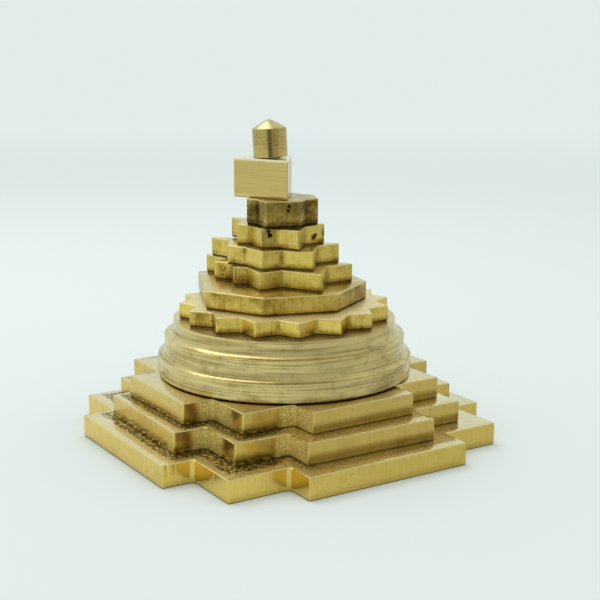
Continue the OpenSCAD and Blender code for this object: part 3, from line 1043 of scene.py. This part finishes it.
class YANTRA_OT_finial(bpy.types.Operator):
    """Turn the finial on the rod's own axis"""

    bl_idname = "yantra.finial"
    bl_label = "Bindu Finial"

    def execute(self, context):
        node = "bindu_finial"
        sizes = context.scene.yantra_sizes
        joint = next(joint for joint in frame["joints"] if joint["child"] == "finial")
        turn = Vector(joint["axis"]).normalized().to_track_quat("Z", "Y").to_matrix().to_4x4()
        place = Matrix.Translation(joint["pos_m"]) @ turn
        upright = place.inverted()
        points = {}
        for vert in frame["nodes"][node].data.vertices:
            local = upright @ vert.co
            points.setdefault(round(local.z, 6), set()).add(round(local.xy.length, 6))
        levels = sorted(points)
        outer, apex = max(points[levels[0]]), levels[-1]
        shoulder = max(level for level in levels if max(points[level]) > SHOULDER_SHARE * outer)
        hole = min(points[levels[0]])
        roof = min(level for level in levels[1:] if level < shoulder)
        profile = [(0.0, roof), (hole, roof), (hole, levels[0]), (outer, levels[0])]
        profile.append((outer, shoulder - SHOULDER_LINE))
        for step in range(DOME_STEPS + 1):
            share = 1.0 - step / DOME_STEPS
            profile.append((outer * share, shoulder + (apex - shoulder) * (1.0 - share ** DOME_CURVE)))
        values = {
            "Height": apex, "Turning Depth": sizes.turn_depth * FINIAL_TURNING, "Pitch Radius": FINIAL_PITCH,
            "Sides": FINIAL_SIDES, "Bored": 0, "Seed": sizes.seed + 1,
        }
        points = [Vector((radius, 0.0, level)) for radius, level in profile]
        # The cone is painted pale: wear, and a painted sheen
        worn_and_painted_light = [CONE_WEAR_AND_SHEEN * (point.z >= shoulder) for point in points]
        turn_piece(context.scene, node, "finial", "bright_brass", points, place, values, worn_and_painted_light)
        return {"FINISHED"}


class YANTRA_OT_fasteners(bpy.types.Operator):
    """Make the rod, nut and washer from their CAD shapes"""

    bl_idname = "yantra.fasteners"
    bl_label = "Rod, Nut and Washer"

    def execute(self, context):
        for node in FASTENERS:
            shape = merged_copy(node)
            bmesh.ops.dissolve_limit(shape, angle_limit=FLAT_EDGE, verts=shape.verts, edges=shape.edges)
            mesh = bpy.data.meshes.new(node)
            shape.to_mesh(mesh)
            shape.free()
            mesh.materials.append(material_for("rod_steel"))
            dress(finished(node + "_finish", mesh), "base", "rod_steel", node)
        return {"FINISHED"}


class YANTRA_OT_stage(bpy.types.Operator):
    """Set the floor, the light and the camera"""

    bl_idname = "yantra.stage"
    bl_label = "Stage"

    def execute(self, context):
        scene = context.scene
        scene.view_settings.view_transform = "Standard"
        lay_floor(scene)
        light_scene(scene)
        place_camera(scene)
        return {"FINISHED"}


def stage_way(stage, front, right, up):
    """A unit direction made of parts towards the front, the right and the top of the stage."""
    ahead = Vector((-math.sin(stage.yaw), -math.cos(stage.yaw), 0.0))
    across = Vector((math.cos(stage.yaw), -math.sin(stage.yaw), 0.0))
    return tuple((ahead * front + across * right + Vector((0.0, 0.0, up))).normalized())


# How far the floor reaches from the middle, and the nearest and farthest that the camera sees, in metres
FLOOR_REACH = 6.0
CLIP = (0.01, 20.0)
# Where the far backdrop, the room and the dark strip begin and are full, in reaches of the pale floor
BACKDROP_START = (2.0, 6.0)
ROOM_START = (1.0, 2.0)
FIGURE_START = (1.2, 1.5)
# Ways to the front, the right and the top in which reflections are dimmer, and from where to where they dim
ROOM_AHEAD = (0.9, 0.42, 0.0)
ROOM_AHEAD_EDGE = (0.6, 0.97, 0.25, 1.0)
ROOM_RIGHT = (0.35, 0.94, 0.0)
SKY_AHEAD = (0.75, 0.25, 0.6)
SKY_AHEAD_EDGE = (0.15, 0.8, 0.0, 0.6)
SKY_RIGHT = (0.2, 0.95, 0.1)
RIGHT_EDGE = (0.1, 0.9, 0.0)
# What stands dark behind the camera, seen in reflections alone: its colour, its direction and its edges
FIGURE = (0.05, 0.045, 0.04)
FIGURE_WAY = (1.0, 0.0, 0.0)
FIGURE_EDGE = (0.955, 0.985)
# The lamp: its width and height, its direction and distance, and the height that it points at
LAMP_SIZE = (0.22, 0.30)
LAMP_WAY = (-0.3, -0.3, 0.9)
LAMP_DISTANCE = 0.45
LAMP_AIM = 0.03


def ray_kinds(tree):
    """The kinds of ray, and a mark on those that show the background: seen, mirrored or passed through."""
    path = put(tree, "ShaderNodeLightPath").outputs
    seen = larger(path["Is Camera Ray"], path["Is Glossy Ray"])
    return path, larger(seen, path["Is Transmission Ray"])


def lay_floor(scene):
    """A wide pale floor, with a dimmer room beyond it in reflections alone."""
    colours, stage = scene.yantra_colours, scene.yantra_stage
    corners = [(x * FLOOR_REACH, y * FLOOR_REACH, 0.0) for x, y in ((-1, -1), (1, -1), (1, 1), (-1, 1))]
    mesh = bpy.data.meshes.new("floor")
    mesh.from_pydata(corners, [], [(0, 1, 2, 3)])
    floor = bpy.data.objects.new("floor", mesh)
    scene.collection.objects.link(floor)
    material = bpy.data.materials.new("pale_floor")
    material.use_nodes = True
    tree = material.node_tree
    tree.nodes.clear()
    place = put(tree, "ShaderNodeTexCoord").outputs["Object"]
    distance = made("ShaderNodeVectorMath", {0: place}, operation="LENGTH")["Value"]

    def toward(way):
        return math_node("DIVIDE", dot(place, stage_way(stage, *way)), distance)

    def past(near, far):
        return ramp(distance, near * stage.table, far * stage.table)

    ahead = ramp(toward(ROOM_AHEAD), *ROOM_AHEAD_EDGE)
    rightward = ramp(toward(ROOM_RIGHT), *RIGHT_EDGE, stage.shade)
    beyond = larger(times(past(*ROOM_START), ahead), rightward)
    figure = times(past(*FIGURE_START), ramp(toward(FIGURE_WAY), *FIGURE_EDGE))
    beyond = larger(beyond, figure)
    path, seen = ray_kinds(tree)
    plain = {"Color": (*colours.floor, 1.0)}
    pale = put(tree, "ShaderNodeBsdfDiffuse", plain).outputs[0]
    backdrop = put(tree, "ShaderNodeEmission", plain).outputs[0]
    room = out("ShaderNodeEmission", {"Color": blended(figure, colours.room, FIGURE)})
    far = times(past(*BACKDROP_START), seen)
    faded = out("ShaderNodeMixShader", {0: far, 1: pale, 2: backdrop})
    mirrored = times(beyond, path["Is Glossy Ray"])
    shown = out("ShaderNodeMixShader", {0: mirrored, 1: faded, 2: room})
    made("ShaderNodeOutputMaterial", {"Surface": shown})
    mesh.materials.append(material)


def light_scene(scene):
    """Soft light from all round and one wide lamp above, towards the back left."""
    colours, stage = scene.yantra_colours, scene.yantra_stage
    world = bpy.data.worlds.new("surroundings")
    scene.world = world
    world.use_nodes = True
    tree = world.node_tree
    tree.nodes.clear()
    path, seen = ray_kinds(tree)
    white = {"Color": (1.0, 1.0, 1.0, 1.0), "Strength": stage.sky}
    soft = put(tree, "ShaderNodeBackground", white).outputs[0]
    toward = put(tree, "ShaderNodeTexCoord").outputs["Generated"]
    ahead = ramp(dot(toward, stage_way(stage, *SKY_AHEAD)), *SKY_AHEAD_EDGE)
    rightward = ramp(dot(toward, stage_way(stage, *SKY_RIGHT)), *RIGHT_EDGE, stage.shade)
    dim = times(larger(ahead, rightward), path["Is Glossy Ray"])
    shown = out("ShaderNodeBackground", {"Color": blended(dim, colours.floor, colours.room)})
    mixed = out("ShaderNodeMixShader", {0: seen, 1: soft, 2: shown})
    made("ShaderNodeOutputWorld", {"Surface": mixed})
    lamp = bpy.data.lights.new("key", "AREA")
    lamp.shape = "RECTANGLE"
    lamp.size, lamp.size_y = LAMP_SIZE
    lamp.energy = stage.key
    key = bpy.data.objects.new("key", lamp)
    key.location = LAMP_DISTANCE * Vector(stage_way(stage, *LAMP_WAY))
    key.rotation_euler = (Vector((0.0, 0.0, LAMP_AIM)) - key.location).to_track_quat("-Z", "Y").to_euler()
    scene.collection.objects.link(key)


def place_camera(scene):
    """The camera at the photograph's viewpoint."""
    stage = scene.yantra_stage
    ahead = Vector((math.sin(stage.yaw) * math.cos(stage.pitch), math.cos(stage.yaw) * math.cos(stage.pitch),
                    -math.sin(stage.pitch)))
    right = ahead.cross(Vector((0.0, 0.0, 1.0))).normalized()
    upward = right.cross(ahead)
    axes = Matrix((right, upward, -ahead)).transposed() @ Matrix.Rotation(stage.roll, 3, "Z")
    data = bpy.data.cameras.new("camera")
    data.lens = stage.lens
    data.clip_start, data.clip_end = CLIP
    camera = bpy.data.objects.new("camera", data)
    camera.matrix_world = Matrix.Translation(stage.eye) @ axes.to_4x4()
    scene.collection.objects.link(camera)
    scene.camera = camera


class YANTRA_PT_panel(bpy.types.Panel):
    """Buttons for each group of pieces, with their sizes and colours"""

    bl_idname = "YANTRA_PT_panel"
    bl_label = "Brass Yantra"
    bl_space_type = "VIEW_3D"
    bl_region_type = "UI"
    bl_category = "Yantra"

    def draw(self, context):
        for operator in OPERATORS:
            self.layout.operator(operator.bl_idname)
        for group in (context.scene.yantra_sizes, context.scene.yantra_colours, context.scene.yantra_stage):
            box = self.layout.box()
            for name in group.__annotations__:
                box.prop(group, name)


GROUPS = {"yantra_sizes": YantraSizes, "yantra_colours": YantraColours, "yantra_stage": YantraStage}
OPERATORS = (
    YANTRA_OT_square_tiers, YANTRA_OT_round_tier, YANTRA_OT_point_tiers, YANTRA_OT_triangle_tier,
    YANTRA_OT_finial, YANTRA_OT_fasteners, YANTRA_OT_stage,
)


def register():
    for name, group in GROUPS.items():
        bpy.utils.register_class(group)
        setattr(bpy.types.Scene, name, PointerProperty(type=group))
    for owner in (*OPERATORS, YANTRA_PT_panel):
        bpy.utils.register_class(owner)


def unregister():
    for owner in (YANTRA_PT_panel, *reversed(OPERATORS)):
        bpy.utils.unregister_class(owner)
    for name, group in GROUPS.items():
        delattr(bpy.types.Scene, name)
        bpy.utils.unregister_class(group)


def main():
    """Registers the add-on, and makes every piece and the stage."""
    register()
    bpy.ops.yantra.square_tiers()
    bpy.ops.yantra.round_tier()
    bpy.ops.yantra.point_tiers()
    bpy.ops.yantra.triangle_tier()
    bpy.ops.yantra.finial()
    bpy.ops.yantra.fasteners()
    bpy.ops.yantra.stage()


if __name__ == "__main__":
    main()
